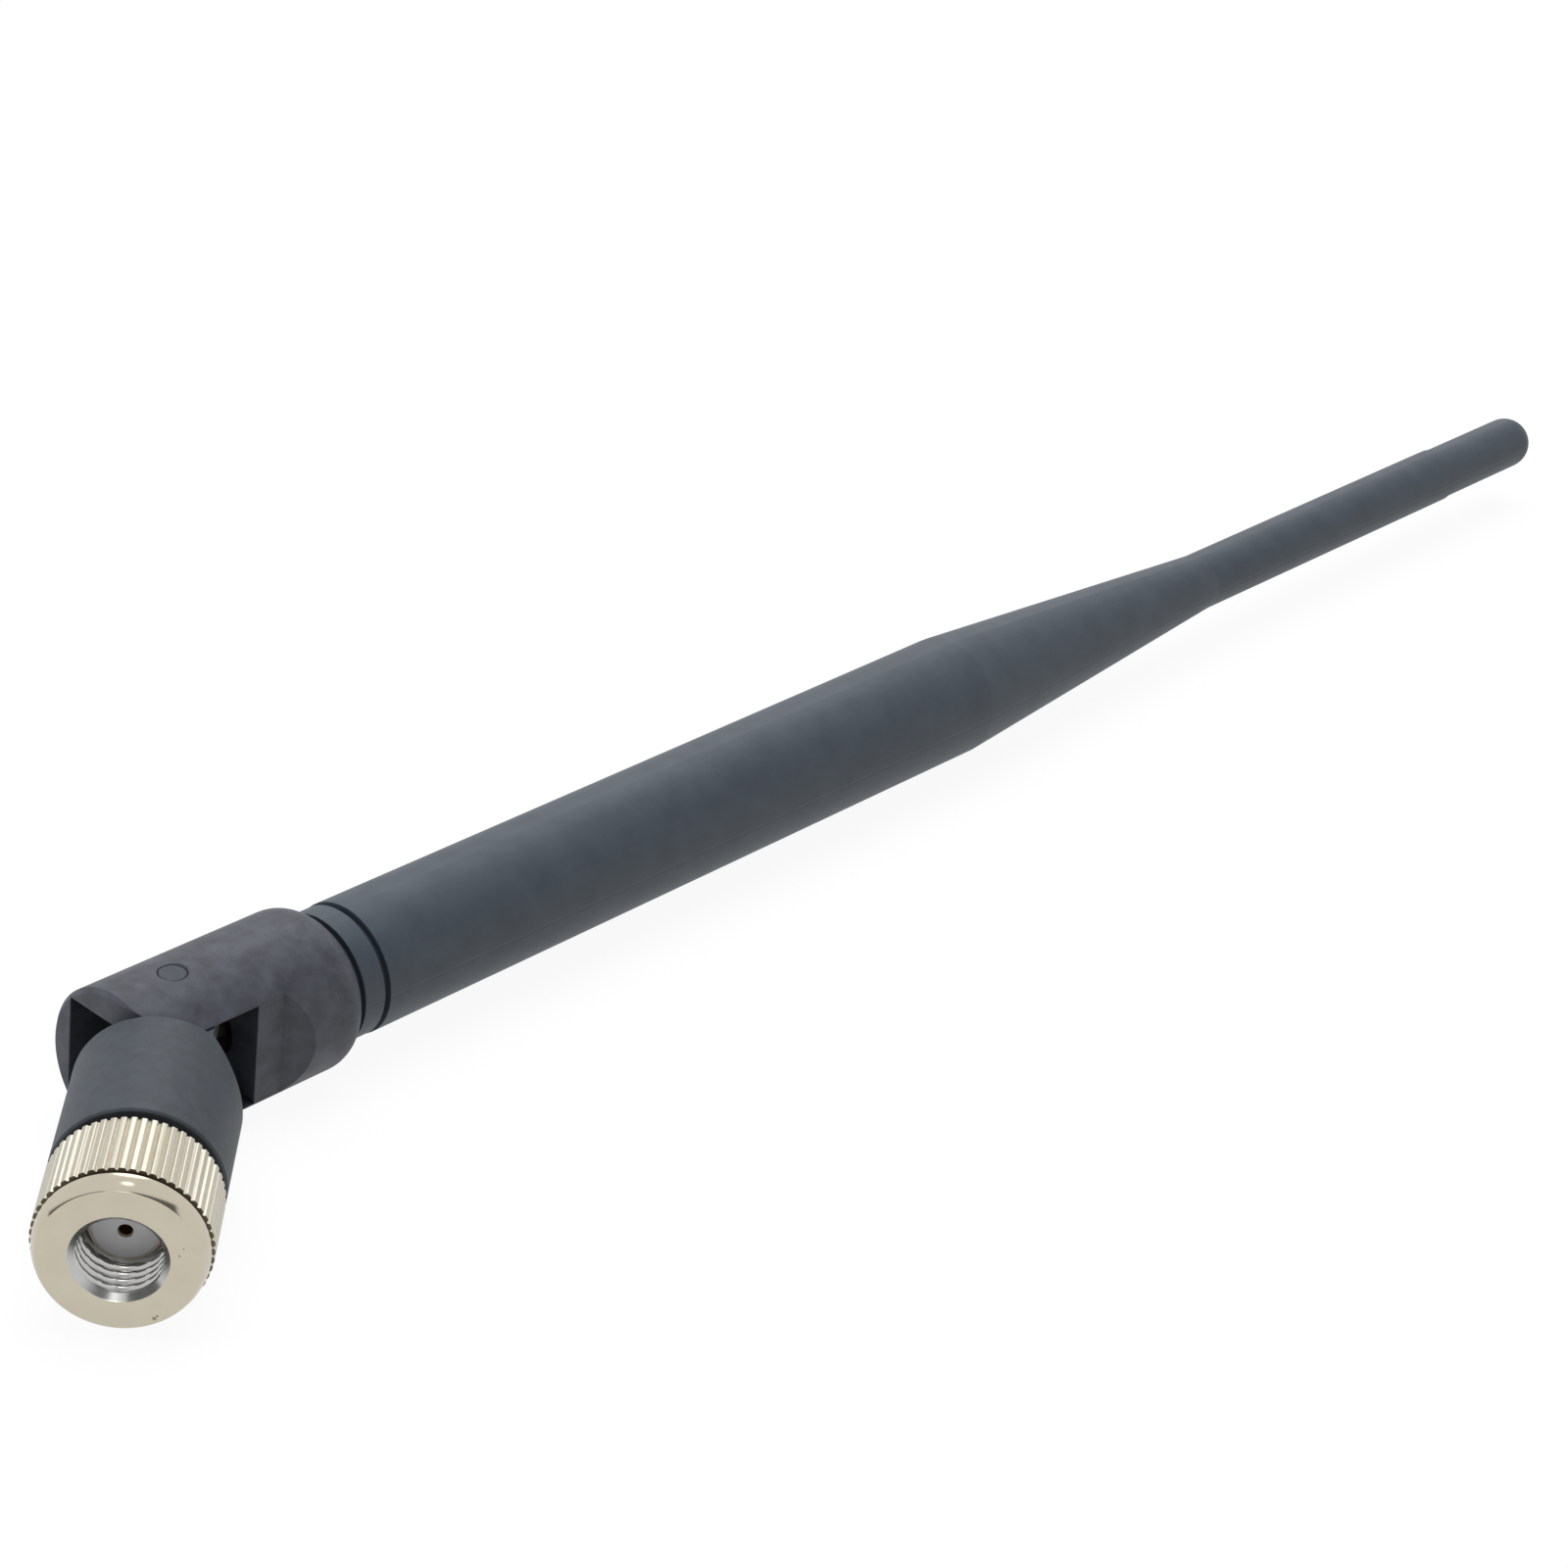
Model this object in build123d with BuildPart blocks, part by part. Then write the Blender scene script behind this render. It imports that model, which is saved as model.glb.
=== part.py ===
from build123d import *
import os
from math import cos, pi, radians, sin, sqrt, tan

# A bending rod antenna: a knurled coaxial plug, a knuckle that tilts in a fork, and a stepped whip.
# The origin is the centre of the plug's reference plane. The whip lies along +X, the hinge pin along Z.
# Sizes are in millimetres. Positions along the plug are measured from the hinge towards the nut,
# positions along the whip from the hinge towards the tip.

# Hinge
bend_angle = 42.0
trunnion_radius = 0.98
trunnion_clearance = 0.06
trunnion_recess = 0.12
trunnion_hole_edge = 0.12

# Fork at the whip's base
fork_radius = 6.05
fork_end_chamfer = 0.35
fork_back_wall = 1.85
slot_height = 7.96
slot_depth = 3.85
slot_corner_radius = 0.4
side_flat_offset = 4.5
side_flat_length = 6.15
runout_angle = 41.5
barrel_length = 13.12
barrel_shoulder_radius = 2.4
barrel_end_radius = 4.93
barrel_cable_radius = 1.2
flare_length = 1.4
cable_land = 1.07

# Knuckle on the plug
knuckle_radius = 5.86
shoulder_distance = 5.35
swing_clearance = 0.10
inner_chamfer_start = 3.5
inner_chamfer_angle = 45.0
ear_radius = 3.3
ear_side_clearance = 0.10
ear_gap = 4.0
knuckle_cable_radius = 1.15
knuckle_edge = 0.15

# Plug
reference_plane = 21.37
interface_depth = 3.18
nut_length = 7.48
knurl_radius = 5.88
knurl_root_radius = 5.68
knurl_teeth = 55
knurl_land = 0.42
knurl_edge = 0.12
undercut_radius = 5.35
undercut_width = 0.30
collar_radius = 5.70
collar_length = 1.40
face_radius = 5.27
mouth_radius = 3.3
thread_radius = 3.175
thread_relief_radius = 3.5
thread_relief_width = 0.47
nut_end_play = 0.12
flange_thickness = 0.65
flange_radius = 4.5
body_radius = 2.6
body_clearance = 0.05
body_front_radius = 2.3
body_front_length = 0.67
body_press_radius = 3.6
body_press_length = 4.7
ring_width = 0.45
ring_axial_play = 0.08
ring_inner_radius = 2.4
ring_outer_radius = 2.9
ring_radial_play = 0.05
ring_opening_angle = 24.0
ring_setback = 0.95
crimp_tail_radius = 1.35
crimp_tail_length = 2.8
ferrule_wall = 0.35
ferrule_length = 2.6
ferrule_clearance = 0.3

# Dielectric and contact
dielectric_radius = 2.075
dielectric_length = 6.2
dielectric_hole_radius = 0.52
contact_radius = 0.64
contact_recess = 0.22
contact_length = 6.6
contact_bore_radius = 0.47
contact_bore_depth = 2.6
contact_slot_width = 0.15
solder_cup_depth = 1.1
solder_chamber_radius = 1.2
solder_chamber_length = 1.5

# Coaxial cable
jacket_radius = 0.9
braid_radius = 0.68
braid_thickness = 0.15
core_radius = 0.43
conductor_radius = 0.16
cable_bend_radius = 12.0
cable_fit = 0.03
braid_flare = 0.5

# Whip sleeve
sleeve_radius = 4.97
sleeve_wall = 1.0
spigot_radius = 4.4
joint_groove_width = 0.53
base_ring_radius = 4.9
base_ring_width = 1.83
base_groove_width = 0.5
base_groove_depth = 0.5
lower_length = 83.4
taper_length = 34.9
thin_length = 53.0
thin_radius = 2.5
thin_wall = 1.0
tip_cap_length = 14.9
tip_step = 0.11
tip_round = 2.2
tip_solid_length = 6.9
glue_gap = 0.03

# Radiator parts inside the sleeve
grommet_radius = 2.0
grommet_length = 2.2
tube_radius = 3.55
tube_wall = 0.3
tube_setback = 1.88
tube_margin = 2.9
bush_length = 3.0
bush_flange = 1.2
collar_thickness = 1.2
spacer_width = 2.5
feed_gap = 3.4
rod_socket_radius = 1.0
rod_socket_length = 6.0
rod_radius = 0.6
shrink_wall = 0.25
shrink_overlap = 1.6
taper_bead_share = 0.6
taper_bead_length = 3.0
plug_length = 4.5
plug_cover = 1.5


# Planes and axes that the pieces share
toward_nut = Vector(-cos(radians(bend_angle)), -sin(radians(bend_angle)), 0)
hinge = toward_nut * -reference_plane
whip_axis = Axis(hinge, (1, 0, 0))
plug_axis = Axis(hinge, toward_nut)
whip_side = Plane(origin=hinge, x_dir=(1, 0, 0), z_dir=(0, -1, 0))
plug_side = Plane(origin=hinge, x_dir=toward_nut, z_dir=toward_nut.cross(Vector(0, 0, 1)))
whip_plan = Plane(origin=hinge, x_dir=(1, 0, 0), z_dir=(0, 0, 1))
plug_plan = Plane(origin=hinge, x_dir=toward_nut, z_dir=(0, 0, 1))

# Positions worked out along the plug
nut_face = reference_plane + interface_depth
nut_rear = nut_face - nut_length
flange_front = nut_rear - nut_end_play
skirt_end = flange_front - flange_thickness
body_front_step = reference_plane - body_front_length
body_press_end = skirt_end - body_press_length
crimp_tail_end = body_press_end - crimp_tail_length
dielectric_rear = reference_plane - dielectric_length
contact_front = reference_plane - contact_recess
contact_rear = contact_front - contact_length
solder_chamber_end = dielectric_rear - solder_chamber_length
ring_front = body_front_step - ring_setback
ring_rear = ring_front - ring_width
ferrule_inner_radius = crimp_tail_radius + braid_thickness
ferrule_radius = ferrule_inner_radius + ferrule_wall
ferrule_front = body_press_end - cable_fit
ferrule_rear = ferrule_front - ferrule_length

# Positions worked out along the whip
taper_end = lower_length + taper_length
tip_end = taper_end + thin_length
tip_step_start = tip_end - tip_cap_length
sleeve_bore_end = tip_end - tip_solid_length
sleeve_start = slot_depth + flare_length + cable_land + grommet_length
ring_start = barrel_length + joint_groove_width
ring_end = ring_start + base_ring_width
body_start = ring_end + base_groove_width
sleeve_bore_radius = sleeve_radius - sleeve_wall
thin_bore_radius = thin_radius - thin_wall
tip_radius = thin_radius - tip_step
tube_start = barrel_length + tube_setback
tube_end = lower_length - tube_margin
tube_bore_radius = tube_radius - tube_wall
rod_socket_start = tube_end + feed_gap
rod_socket_end = rod_socket_start + rod_socket_length
rod_start = rod_socket_start + rod_socket_length / 2
rod_end = sleeve_bore_end - plug_cover
taper_bead_start = lower_length + taper_bead_share * taper_length
taper_bead_end = taper_bead_start + taper_bead_length
arm_radius = shoulder_distance - swing_clearance
fork_overhang = arm_radius
slot_top = slot_height / 2
ear_top = slot_top - ear_side_clearance
cut_reach = fork_radius + 1.0


def sleeve_bore_at(position):
    """The sleeve's inner radius where it tapers, at a distance from the hinge."""
    share = (position - lower_length) / taper_length
    return sleeve_bore_radius + share * (thin_bore_radius - sleeve_bore_radius)


# Coupling nut: turned and knurled brass, nickel plated, free to turn on the plug's body
with BuildPart() as coupling_nut:
    collar_start = nut_face - collar_length
    knurl_end = collar_start - undercut_width
    groove_front = ring_front + ring_axial_play
    groove_rear = ring_rear - ring_axial_play
    groove_radius = ring_outer_radius + ring_radial_play
    rear_bore_radius = body_radius + body_clearance
    thread_start = nut_face - (mouth_radius - thread_radius)
    relief_end = reference_plane - thread_relief_width
    with BuildSketch(plug_side):
        with BuildLine():
            Polyline(
                (nut_face, face_radius),
                (nut_face, mouth_radius),
                (thread_start, thread_radius),
                (reference_plane, thread_radius),
                (reference_plane, thread_relief_radius),
                (relief_end, thread_relief_radius),
                (relief_end, rear_bore_radius),
                (groove_front, rear_bore_radius),
                (groove_front, groove_radius),
                (groove_rear, groove_radius),
                (groove_rear, rear_bore_radius),
                (nut_rear, rear_bore_radius),
                (nut_rear, knurl_radius - knurl_edge),
                (nut_rear + knurl_edge, knurl_radius),
                (knurl_end, knurl_radius),
                (knurl_end, undercut_radius),
                (collar_start, undercut_radius),
                (collar_start, collar_radius),
            )
            TangentArc((collar_start, collar_radius), (nut_face, face_radius), tangent=(1, 0))
        make_face()
    revolve(axis=plug_axis)
    # Straight knurl: V grooves between the teeth, cut along the nut, one of them in the plane of the bend
    knurl_pitch_angle = 2 * pi / knurl_teeth
    knurl_gap = knurl_radius * knurl_pitch_angle - knurl_land
    across_plug = toward_nut.cross(Vector(0, 0, 1))
    with BuildSketch(Plane(origin=hinge + toward_nut * nut_rear, x_dir=across_plug, z_dir=toward_nut)):
        with PolarLocations(knurl_radius, knurl_teeth):
            Polygon(
                (0, knurl_gap / 2),
                (knurl_root_radius - knurl_radius, 0),
                (0, -knurl_gap / 2),
                (knurl_gap / 2, 0),
                align=None,
            )
    extrude(amount=knurl_end - nut_rear, mode=Mode.SUBTRACT)
coupling_nut.part.label = "coupling_nut"

# Retaining ring: a split spring ring, half in the body's groove and half in the nut's
with BuildPart() as nut_retaining_ring:
    with BuildSketch(plug_side):
        with BuildLine():
            Polyline(
                (ring_rear, ring_inner_radius),
                (ring_front, ring_inner_radius),
                (ring_front, ring_outer_radius),
                (ring_rear, ring_outer_radius),
                close=True,
            )
        make_face()
    revolve(axis=plug_axis, revolution_arc=360 - ring_opening_angle)
nut_retaining_ring.part.label = "nut_retaining_ring"

# Plug body: turned brass, its rear pressed into the knuckle, its thin tail inside the crimp
with BuildPart() as connector_body:
    groove_front = ring_front + ring_axial_play
    groove_rear = ring_rear - ring_axial_play
    groove_radius = ring_inner_radius - ring_radial_play
    with BuildSketch(plug_side):
        with BuildLine():
            Polyline(
                (reference_plane, dielectric_radius),
                (reference_plane, body_front_radius),
                (body_front_step, body_front_radius),
                (body_front_step, body_radius),
                (groove_front, body_radius),
                (groove_front, groove_radius),
                (groove_rear, groove_radius),
                (groove_rear, body_radius),
                (flange_front, body_radius),
                (flange_front, flange_radius),
                (skirt_end, flange_radius),
                (skirt_end, body_press_radius),
                (body_press_end, body_press_radius),
                (body_press_end, crimp_tail_radius),
                (crimp_tail_end, crimp_tail_radius),
                (crimp_tail_end, core_radius + cable_fit),
                (solder_chamber_end, core_radius + cable_fit),
                (solder_chamber_end, solder_chamber_radius),
                (dielectric_rear, solder_chamber_radius),
                (dielectric_rear, dielectric_radius),
                close=True,
            )
        make_face()
    revolve(axis=plug_axis)
connector_body.part.label = "connector_body"

# Dielectric: a white fluoropolymer bush pressed in the body, flush with the reference plane
with BuildPart() as connector_dielectric:
    with BuildSketch(plug_side):
        with BuildLine():
            Polyline(
                (dielectric_rear, contact_radius),
                (contact_front, contact_radius),
                (contact_front, dielectric_hole_radius),
                (reference_plane, dielectric_hole_radius),
                (reference_plane, dielectric_radius),
                (dielectric_rear, dielectric_radius),
                close=True,
            )
        make_face()
    revolve(axis=plug_axis)
connector_dielectric.part.label = "connector_dielectric"

# Centre contact: a gold plated socket with a slotted mouth and a solder cup behind
with BuildPart() as centre_contact:
    with BuildSketch(plug_side):
        with BuildLine():
            Polyline(
                (contact_rear, conductor_radius),
                (contact_rear, contact_radius),
                (contact_front, contact_radius),
                (contact_front, contact_bore_radius),
                (contact_front - contact_bore_depth, contact_bore_radius),
                (contact_front - contact_bore_depth - contact_bore_radius, 0),
                (contact_rear + solder_cup_depth, 0),
                (contact_rear + solder_cup_depth, conductor_radius),
                close=True,
            )
        make_face()
    revolve(axis=plug_axis)
    with BuildSketch(plug_side):
        with Locations((contact_front - contact_bore_depth / 2, 0)):
            Rectangle(contact_bore_depth, contact_slot_width)
    extrude(amount=contact_radius, both=True, mode=Mode.SUBTRACT)
centre_contact.part.label = "centre_contact"

# Crimp ferrule: a soft copper tube that holds the braid on the body's tail
with BuildPart() as crimp_ferrule:
    with BuildSketch(plug_side):
        with BuildLine():
            Polyline(
                (ferrule_rear, ferrule_inner_radius),
                (ferrule_front, ferrule_inner_radius),
                (ferrule_front, ferrule_radius),
                (ferrule_rear, ferrule_radius),
                close=True,
            )
        make_face()
    revolve(axis=plug_axis)
crimp_ferrule.part.label = "crimp_ferrule"

# Knuckle: moulded round bar with two ears and two trunnions that snap into the fork
with BuildPart() as knuckle:
    pocket_radius = ferrule_radius + ferrule_clearance
    pocket_end = ferrule_rear - braid_flare
    flare_radius = ear_gap / 2
    flare_end = shoulder_distance + flare_length
    flare_throat = (flare_end + pocket_end) / 2
    with BuildSketch(plug_side):
        with BuildLine():
            Polyline(
                (shoulder_distance, 0),
                (shoulder_distance, knuckle_radius),
                (skirt_end - knuckle_edge, knuckle_radius),
                (skirt_end, knuckle_radius - knuckle_edge),
                (skirt_end, 0),
                close=True,
            )
        make_face()
    revolve(axis=plug_axis)
    # Sloping cut on the inside of the bend, so that the knuckle clears the fork's root
    chamfer_depth = (knuckle_radius - inner_chamfer_start) / tan(radians(inner_chamfer_angle))
    with BuildSketch(plug_plan):
        with BuildLine():
            Polyline(
                (shoulder_distance, inner_chamfer_start),
                (shoulder_distance + chamfer_depth, knuckle_radius),
                (shoulder_distance, knuckle_radius),
                close=True,
            )
        make_face()
    extrude(amount=knuckle_radius, both=True, mode=Mode.SUBTRACT)
    # Two ears with round ends about the hinge
    with BuildSketch(plug_plan):
        Circle(ear_radius)
        with Locations((shoulder_distance / 2, 0)):
            Rectangle(shoulder_distance, 2 * ear_radius)
    extrude(amount=ear_top, both=True)
    with BuildSketch(plug_plan):
        with Locations(((flare_end - ear_radius) / 2, 0)):
            Rectangle(flare_end + ear_radius, 2 * ear_radius)
    extrude(amount=ear_gap / 2, both=True, mode=Mode.SUBTRACT)
    # Trunnions moulded on the ears
    with BuildSketch(whip_plan.offset(ear_top), whip_plan.offset(-fork_radius + trunnion_recess)):
        Circle(trunnion_radius)
    extrude(amount=fork_radius - trunnion_recess - ear_top)
    # Cavity: press bore, pocket round the crimp, cable bore and its flare
    with BuildSketch(plug_side):
        with BuildLine():
            Polyline(
                (skirt_end, 0),
                (skirt_end, body_press_radius),
                (body_press_end, body_press_radius),
                (body_press_end, pocket_radius),
                (pocket_end, pocket_radius),
                (pocket_end, knuckle_cable_radius),
                (flare_throat, knuckle_cable_radius),
                (flare_end, flare_radius),
                (flare_end, 0),
                close=True,
            )
        make_face()
    revolve(axis=plug_axis, mode=Mode.SUBTRACT)
knuckle.part.label = "knuckle"

# Fork: moulded barrel at the whip's base, slotted for the knuckle's ears, closed at its back
with BuildPart() as fork_barrel:
    shoulder_start = barrel_length - sqrt(
        barrel_shoulder_radius**2 - (barrel_end_radius - fork_radius + barrel_shoulder_radius) ** 2
    )
    with BuildSketch(whip_side):
        with BuildLine():
            Polyline(
                (barrel_length, barrel_end_radius),
                (barrel_length, 0),
                (-fork_overhang, 0),
                (-fork_overhang, fork_radius - fork_end_chamfer),
                (fork_end_chamfer - fork_overhang, fork_radius),
                (shoulder_start, fork_radius),
            )
            TangentArc((shoulder_start, fork_radius), (barrel_length, barrel_end_radius), tangent=(1, 0))
        make_face()
    revolve(axis=whip_axis)
    # Slot, open at the end and at the front, with a wall left at the back
    back_face = fork_radius - fork_back_wall
    with BuildSketch(whip_plan) as slot_sketch:
        with BuildLine():
            Polyline(
                (-fork_overhang, back_face),
                (slot_depth, back_face),
                (slot_depth, -fork_radius),
                (-fork_overhang, -fork_radius),
                close=True,
            )
        make_face()
        fillet(slot_sketch.vertices().group_by(Axis.X)[-1].sort_by(Axis.Y)[-1], slot_corner_radius)
    extrude(amount=slot_top, both=True, mode=Mode.SUBTRACT)
    # Flat side and its sloping run-out, where the knuckle lies at a right angle
    runout = (cut_reach - side_flat_offset) / tan(radians(runout_angle))
    with BuildSketch(whip_plan):
        with BuildLine():
            Polyline(
                (-cut_reach, -side_flat_offset),
                (side_flat_length, -side_flat_offset),
                (side_flat_length + runout, -cut_reach),
                (-cut_reach, -cut_reach),
                close=True,
            )
        make_face()
    extrude(amount=cut_reach, both=True, mode=Mode.SUBTRACT)
    # Arms rounded about the hinge, inside the knuckle's shoulder
    with BuildSketch(whip_plan):
        with Locations((-cut_reach / 2, -cut_reach / 2)):
            Rectangle(cut_reach, cut_reach)
        Circle(arm_radius, mode=Mode.SUBTRACT)
    extrude(amount=cut_reach, both=True, mode=Mode.SUBTRACT)
    # Holes for the trunnions, broken at their outer edges
    hole_radius = trunnion_radius + trunnion_clearance
    with BuildSketch(whip_plan):
        Circle(hole_radius)
    extrude(amount=cut_reach, both=True, mode=Mode.SUBTRACT)
    hole_rim = fork_radius - trunnion_hole_edge
    with BuildSketch(whip_side):
        for side in (1, -1):
            with BuildLine():
                Polyline(
                    (0, side * hole_rim),
                    (hole_radius, side * hole_rim),
                    (hole_radius + 2 * trunnion_hole_edge, side * (fork_radius + trunnion_hole_edge)),
                    (0, side * (fork_radius + trunnion_hole_edge)),
                    close=True,
                )
            make_face()
    revolve(axis=Axis(hinge, (0, 0, 1)), mode=Mode.SUBTRACT)
    # Flared cable bore, pocket for the grommet and socket for the sleeve's glued spigot
    with BuildSketch(whip_side):
        with BuildLine():
            Polyline(
                (slot_depth, 0),
                (slot_depth, ear_gap / 2),
                (slot_depth + flare_length, barrel_cable_radius),
                (sleeve_start - grommet_length, barrel_cable_radius),
                (sleeve_start - grommet_length, grommet_radius),
                (sleeve_start, grommet_radius),
                (sleeve_start, spigot_radius + glue_gap),
                (barrel_length, spigot_radius + glue_gap),
                (barrel_length, 0),
                close=True,
            )
        make_face()
    revolve(axis=whip_axis, mode=Mode.SUBTRACT)
fork_barrel.part.label = "fork_barrel"

# Whip sleeve: moulded cover, thick over the lower radiator, tapered to a thin rod with a round tip
with BuildPart() as whip_sleeve:
    round_start = tip_end - tip_round
    tip_flat_radius = tip_radius - tip_round
    with BuildSketch(whip_side):
        with BuildLine():
            Polyline(
                (round_start, tip_radius),
                (tip_step_start + tip_step, tip_radius),
                (tip_step_start, thin_radius),
                (taper_end, thin_radius),
                (lower_length, sleeve_radius),
                (body_start, sleeve_radius),
                (body_start, sleeve_radius - base_groove_depth),
                (ring_end, sleeve_radius - base_groove_depth),
                (ring_end, base_ring_radius),
                (ring_start, base_ring_radius),
                (ring_start, spigot_radius),
                (sleeve_start, spigot_radius),
                (sleeve_start, sleeve_bore_radius),
                (lower_length, sleeve_bore_radius),
                (taper_end, thin_bore_radius),
                (sleeve_bore_end, thin_bore_radius),
                (sleeve_bore_end, 0),
                (tip_end, 0),
                (tip_end, tip_flat_radius),
            )
            RadiusArc((tip_end, tip_flat_radius), (round_start, tip_radius), -tip_round)
        make_face()
    revolve(axis=whip_axis)
whip_sleeve.part.label = "whip_sleeve"

# Grommet: a soft bush that grips the cable where it enters the whip
with BuildPart() as cable_grommet:
    with BuildSketch(whip_side):
        with BuildLine():
            Polyline(
                (sleeve_start - grommet_length, jacket_radius),
                (sleeve_start, jacket_radius),
                (sleeve_start, grommet_radius),
                (sleeve_start - grommet_length, grommet_radius),
                close=True,
            )
        make_face()
    revolve(axis=whip_axis)
cable_grommet.part.label = "cable_grommet"

# Coaxial cable: brown jacketed lead on its real route through the hinge, stripped at both ends
jacket_start = crimp_tail_end - braid_flare
jacket_end = tube_end - collar_thickness
braid_end = tube_end
core_end = rod_socket_start - glue_gap
with BuildPart() as coax_cable:
    with BuildLine() as route:
        FilletPolyline(
            hinge + toward_nut * jacket_start,
            hinge,
            hinge + Vector(jacket_end, 0, 0),
            radius=[cable_bend_radius],
        )
    with BuildSketch(Plane(origin=route.line @ 0, z_dir=route.line % 0)):
        Circle(jacket_radius)
    sweep(path=route.line)
    jacket_volume = coax_cable.part.volume
    # Plug end: the braid opens over the body's tail, the core runs on to the contact's cup
    with BuildSketch(plug_side):
        with BuildLine():
            Polyline(
                (jacket_start, 0),
                (jacket_start, jacket_radius),
                (crimp_tail_end - cable_fit, ferrule_inner_radius),
                (ferrule_front - cable_fit, ferrule_inner_radius),
                (ferrule_front - cable_fit, crimp_tail_radius),
                (crimp_tail_end - cable_fit, crimp_tail_radius),
                (crimp_tail_end - cable_fit, core_radius),
                (solder_chamber_end + core_radius, core_radius),
                (solder_chamber_end + core_radius, conductor_radius),
                (contact_rear + solder_cup_depth, conductor_radius),
                (contact_rear + solder_cup_depth, 0),
                close=True,
            )
        make_face()
    revolve(axis=plug_axis)
    # Feed end: bare braid in the collar, then the core, then the conductor in the rod's socket
    with BuildSketch(whip_side):
        with BuildLine():
            Polyline(
                (jacket_end, 0),
                (jacket_end, braid_radius),
                (braid_end, braid_radius),
                (braid_end, core_radius),
                (core_end, core_radius),
                (core_end, conductor_radius),
                (rod_socket_start + rod_socket_length / 4, conductor_radius),
                (rod_socket_start + rod_socket_length / 4, 0),
                close=True,
            )
        make_face()
    revolve(axis=whip_axis)
coax_cable.part.label = "coax_cable"
route_length = route.wires()[0].length
route_volume = pi * jacket_radius**2 * route_length
print("cable bend radius", cable_bend_radius, "route", round(route_length, 3))
print("jacket volume", round(jacket_volume, 3), "section times length", round(route_volume, 3))

# Lower radiator: a thin brass tube over the cable
with BuildPart() as radiator_tube:
    with BuildSketch(whip_side):
        with BuildLine():
            Polyline(
                (tube_start, tube_bore_radius),
                (tube_end, tube_bore_radius),
                (tube_end, tube_radius),
                (tube_start, tube_radius),
                close=True,
            )
        make_face()
    revolve(axis=whip_axis)
radiator_tube.part.label = "radiator_tube"

# Bush: centres the cable in the tube's lower end and the tube in the sleeve
with BuildPart() as lower_bush:
    with BuildSketch(whip_side):
        with BuildLine():
            Polyline(
                (tube_start - bush_flange, jacket_radius + cable_fit),
                (tube_start + bush_length, jacket_radius + cable_fit),
                (tube_start + bush_length, tube_bore_radius - glue_gap),
                (tube_start, tube_bore_radius - glue_gap),
                (tube_start, sleeve_bore_radius - glue_gap),
                (tube_start - bush_flange, sleeve_bore_radius - glue_gap),
                close=True,
            )
        make_face()
    revolve(axis=whip_axis)
lower_bush.part.label = "lower_bush"

# Feed collar: brass disc that joins the braid to the top of the tube
with BuildPart() as feed_collar:
    with BuildSketch(whip_side):
        with BuildLine():
            Polyline(
                (tube_end - collar_thickness, braid_radius),
                (tube_end, braid_radius),
                (tube_end, tube_bore_radius),
                (tube_end - collar_thickness, tube_bore_radius),
                close=True,
            )
        make_face()
    revolve(axis=whip_axis)
feed_collar.part.label = "feed_collar"

# Rings that centre the cable in the tube and the tube in the sleeve
with BuildPart() as cable_spacer:
    spacer_bore = jacket_radius + cable_fit
    spacer_rim = tube_bore_radius - glue_gap
    with BuildSketch(whip_side):
        with Locations(((tube_start + tube_end) / 2, (spacer_bore + spacer_rim) / 2)):
            Rectangle(spacer_width, spacer_rim - spacer_bore)
    revolve(axis=whip_axis)
cable_spacer.part.label = "cable_spacer"

with BuildPart() as tube_spacer:
    with BuildSketch(whip_side):
        with Locations((tube_end - spacer_width, (tube_radius + sleeve_bore_radius) / 2)):
            Rectangle(spacer_width, sleeve_bore_radius - tube_radius - 2 * glue_gap)
    revolve(axis=whip_axis)
tube_spacer.part.label = "tube_spacer"

# Upper radiator: a brass rod in a drilled socket that takes the cable's conductor
with BuildPart() as rod_socket:
    with BuildSketch(whip_side):
        with BuildLine():
            Polyline(
                (rod_socket_start, conductor_radius),
                (rod_socket_start, rod_socket_radius),
                (rod_socket_end, rod_socket_radius),
                (rod_socket_end, rod_radius),
                (rod_start, rod_radius),
                (rod_start, conductor_radius),
                close=True,
            )
        make_face()
    revolve(axis=whip_axis)
rod_socket.part.label = "rod_socket"

with BuildPart() as radiator_rod:
    with BuildSketch(whip_side):
        with BuildLine():
            Polyline(
                (rod_start, 0),
                (rod_start, rod_radius),
                (rod_end, rod_radius),
                (rod_end, 0),
                close=True,
            )
        make_face()
    revolve(axis=whip_axis)
radiator_rod.part.label = "radiator_rod"

# Shrink tube over the rod's socket, closed in on the rod beyond it
with BuildPart() as feed_shrink_tube:
    shrink_end = rod_socket_end + shrink_overlap
    with BuildSketch(whip_side):
        with BuildLine():
            Polyline(
                (rod_socket_start, rod_socket_radius + cable_fit),
                (rod_socket_end + cable_fit, rod_socket_radius + cable_fit),
                (rod_socket_end + cable_fit, rod_radius + cable_fit),
                (shrink_end, rod_radius + cable_fit),
                (shrink_end, rod_radius + cable_fit + shrink_wall),
                (rod_socket_end + shrink_wall, rod_socket_radius + cable_fit + shrink_wall),
                (rod_socket_start, rod_socket_radius + cable_fit + shrink_wall),
                close=True,
            )
        make_face()
    revolve(axis=whip_axis)
feed_shrink_tube.part.label = "feed_shrink_tube"

# Bead that centres the rod in the tapered part of the sleeve
with BuildPart() as taper_bead:
    with BuildSketch(whip_side):
        with BuildLine():
            Polyline(
                (taper_bead_start, rod_radius + cable_fit),
                (taper_bead_end, rod_radius + cable_fit),
                (taper_bead_end, sleeve_bore_at(taper_bead_end) - glue_gap),
                (taper_bead_start, sleeve_bore_at(taper_bead_start) - glue_gap),
                close=True,
            )
        make_face()
    revolve(axis=whip_axis)
taper_bead.part.label = "taper_bead"

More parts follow.
